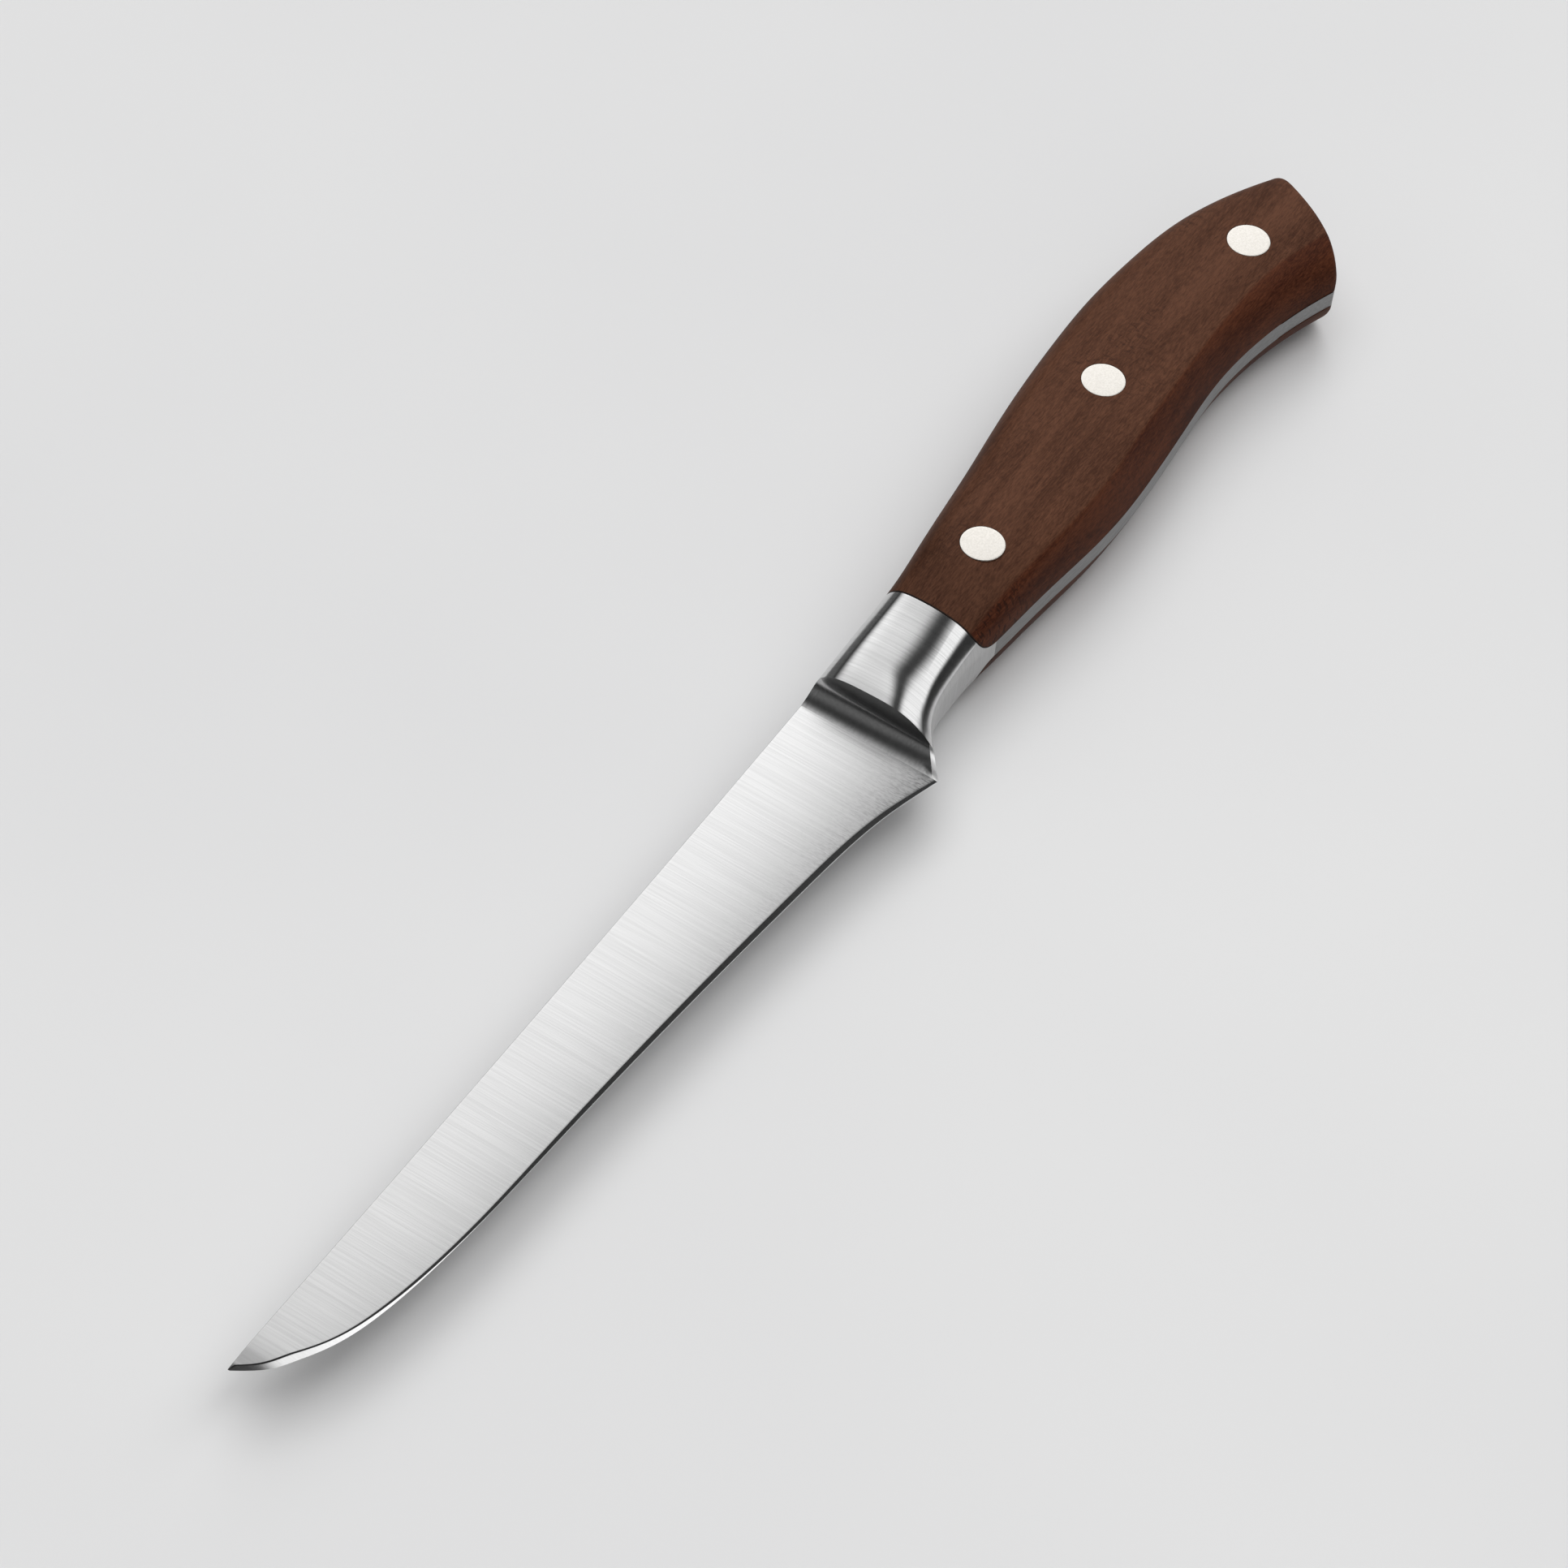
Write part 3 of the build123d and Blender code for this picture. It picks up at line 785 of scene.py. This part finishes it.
forging = make_forging()
for finish in forging_finishes:
    forging.data.materials.append(finish)
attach(forging, "root")
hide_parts("blade_bolster_and_tang")
for node, side in (("upper_scale", 1), ("lower_scale", -1)):
    scale = make_scale("knife_" + node, side)
    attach(scale, "root")
    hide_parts(node)
for place_name, centre in RIVETS.items():
    for kind, side in (("pin", 1), ("socket", -1)):
        rivet = make_rivet(place_name, centre, side)
        rivet.data.materials.append(rivet_finish)
        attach(rivet, "root")
        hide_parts(f"{place_name}_rivet_{kind}")

# ---------------------------------------------------------------- stage, light, camera

FLOOR_REACH = 3.0
ROOM = 0.04                 # brightness of the dark studio around the softboxes
BACK_BOX = 1.95             # of the softbox behind the spine
BACK_BOX_LOW = 1.6          # of its upper rim, nearest to straight above
TOP_BOX = 1.35              # of the softbox to the belly side
STREAK = 0.20               # of the faint glow that the scoop mirrors
HAZE = 0.13                 # of the wall behind the spine, above the horizon

CAMERA_AIM = (133.9, -6.6, 0.0)     # the point of the middle plane that the camera looks at
CAMERA_DISTANCE = 879.3
CAMERA_ELEVATION = math.radians(49.97)
CAMERA_AZIMUTH = math.radians(-153.4)
CAMERA_ROLL = math.radians(7.0)
CAMERA_LENS = 134.2


def make_floor():
    """A plain pale floor."""
    mesh = bpy.data.meshes.new("floor")
    corners = [(x * FLOOR_REACH, y * FLOOR_REACH, 0) for x, y in ((-1, -1), (1, -1), (1, 1), (-1, 1))]
    mesh.from_pydata(corners, [], [(0, 1, 2, 3)])
    floor = bpy.data.objects.new("floor", mesh)
    bpy.context.scene.collection.objects.link(floor)
    made, nodes, shader = material("floor")
    cloud = nodes.grain((0.004, 0.004, 0.004), detail=3.0)
    color = nodes.mix(nodes.remap(cloud, 0.3, 0.7), (0.70, 0.70, 0.705), (0.75, 0.75, 0.75))
    made.node_tree.links.new(color, shader.inputs["Base Color"])
    shader.inputs["Roughness"].default_value = 0.65
    floor.data.materials.append(made)


def make_studio():
    """A dim room with two softboxes: one behind the spine, one overhead and to the belly side.

    A direction is told by u = x / (1 + z) and v = y / (1 + z): (0, 0) is straight up, 1 is the horizon.
    """
    world = bpy.data.worlds.new("studio")
    bpy.context.scene.world = world
    world.use_nodes = True
    nodes = Nodes(world.node_tree)
    toward = nodes.add("ShaderNodeTexCoord").outputs["Generated"]
    split = nodes.add("ShaderNodeSeparateXYZ", {0: toward}).outputs
    under = nodes.math("MAXIMUM", nodes.math("ADD", split["Z"], 1.0), 0.05)
    u = nodes.math("DIVIDE", split["X"], under)
    v = nodes.math("DIVIDE", split["Y"], under)

    def panel(left, right, low, high, strength):
        """The brightness of a panel: each side is a pair of values between which it fades in."""
        inside = strength
        for value, (dark, lit) in ((u, left), (u, right), (v, low), (v, high)):
            inside = nodes.math("MULTIPLY", inside, nodes.remap(value, dark, lit, smooth=True))
        return inside

    back_strength = nodes.remap(v, 0.10, 0.26, BACK_BOX_LOW, BACK_BOX)
    light = panel((0.02, 0.40), (0.84, 0.76), (0.0, 0.10), (0.50, 0.30), back_strength)
    for other in (panel((-0.10, 0.0), (0.84, 0.76), (-0.44, -0.30), (-0.03, -0.11), TOP_BOX),
                  panel((-0.75, -0.40), (0.0, -0.30), (-0.15, -0.05), (0.45, 0.30), STREAK),
                  nodes.remap(v, 0.40, 0.60, 0.0, HAZE, smooth=True)):
        light = nodes.math("MAXIMUM", light, other)
    background = world.node_tree.nodes["Background"]
    world.node_tree.links.new(nodes.math("MAXIMUM", light, ROOM), background.inputs["Strength"])
    background.inputs["Color"].default_value = (1, 1, 1, 1)


def make_lamp(name, where, size, watts):
    """A large soft lamp aimed at the knife, which the steel doesn't mirror."""
    data = bpy.data.lights.new(name, "AREA")
    data.shape = "DISK"
    data.size = size
    data.energy = watts
    lamp = bpy.data.objects.new(name, data)
    bpy.context.scene.collection.objects.link(lamp)
    lamp.location = where
    lamp.rotation_euler = (-Vector(where)).to_track_quat("-Z", "Y").to_euler()
    lamp.visible_glossy = False


def make_camera():
    """The camera at the photo's angle and distance."""
    towards = Vector((math.cos(CAMERA_ELEVATION) * math.cos(CAMERA_AZIMUTH),
                      math.cos(CAMERA_ELEVATION) * math.sin(CAMERA_AZIMUTH), math.sin(CAMERA_ELEVATION)))
    data = bpy.data.cameras.new("camera")
    data.sensor_width = 36.0
    data.lens = CAMERA_LENS
    data.clip_end = 20
    camera = bpy.data.objects.new("camera", data)
    bpy.context.scene.collection.objects.link(camera)
    turn = towards.to_track_quat("Z", "Y").to_matrix() @ Matrix.Rotation(CAMERA_ROLL, 3, "Z")
    camera.matrix_world = turn.to_4x4()
    camera.location = Vector(place(CAMERA_AIM)) + towards * CAMERA_DISTANCE * MM
    bpy.context.scene.camera = camera


make_floor()
make_studio()
make_lamp("fill_above", (0.25, 0.25, 1.7), 2.2, 22.0)
make_lamp("fill_belly", (-0.7, -0.7, 1.1), 1.4, 3.5)
make_camera()
bpy.context.scene.view_settings.view_transform = "Standard"
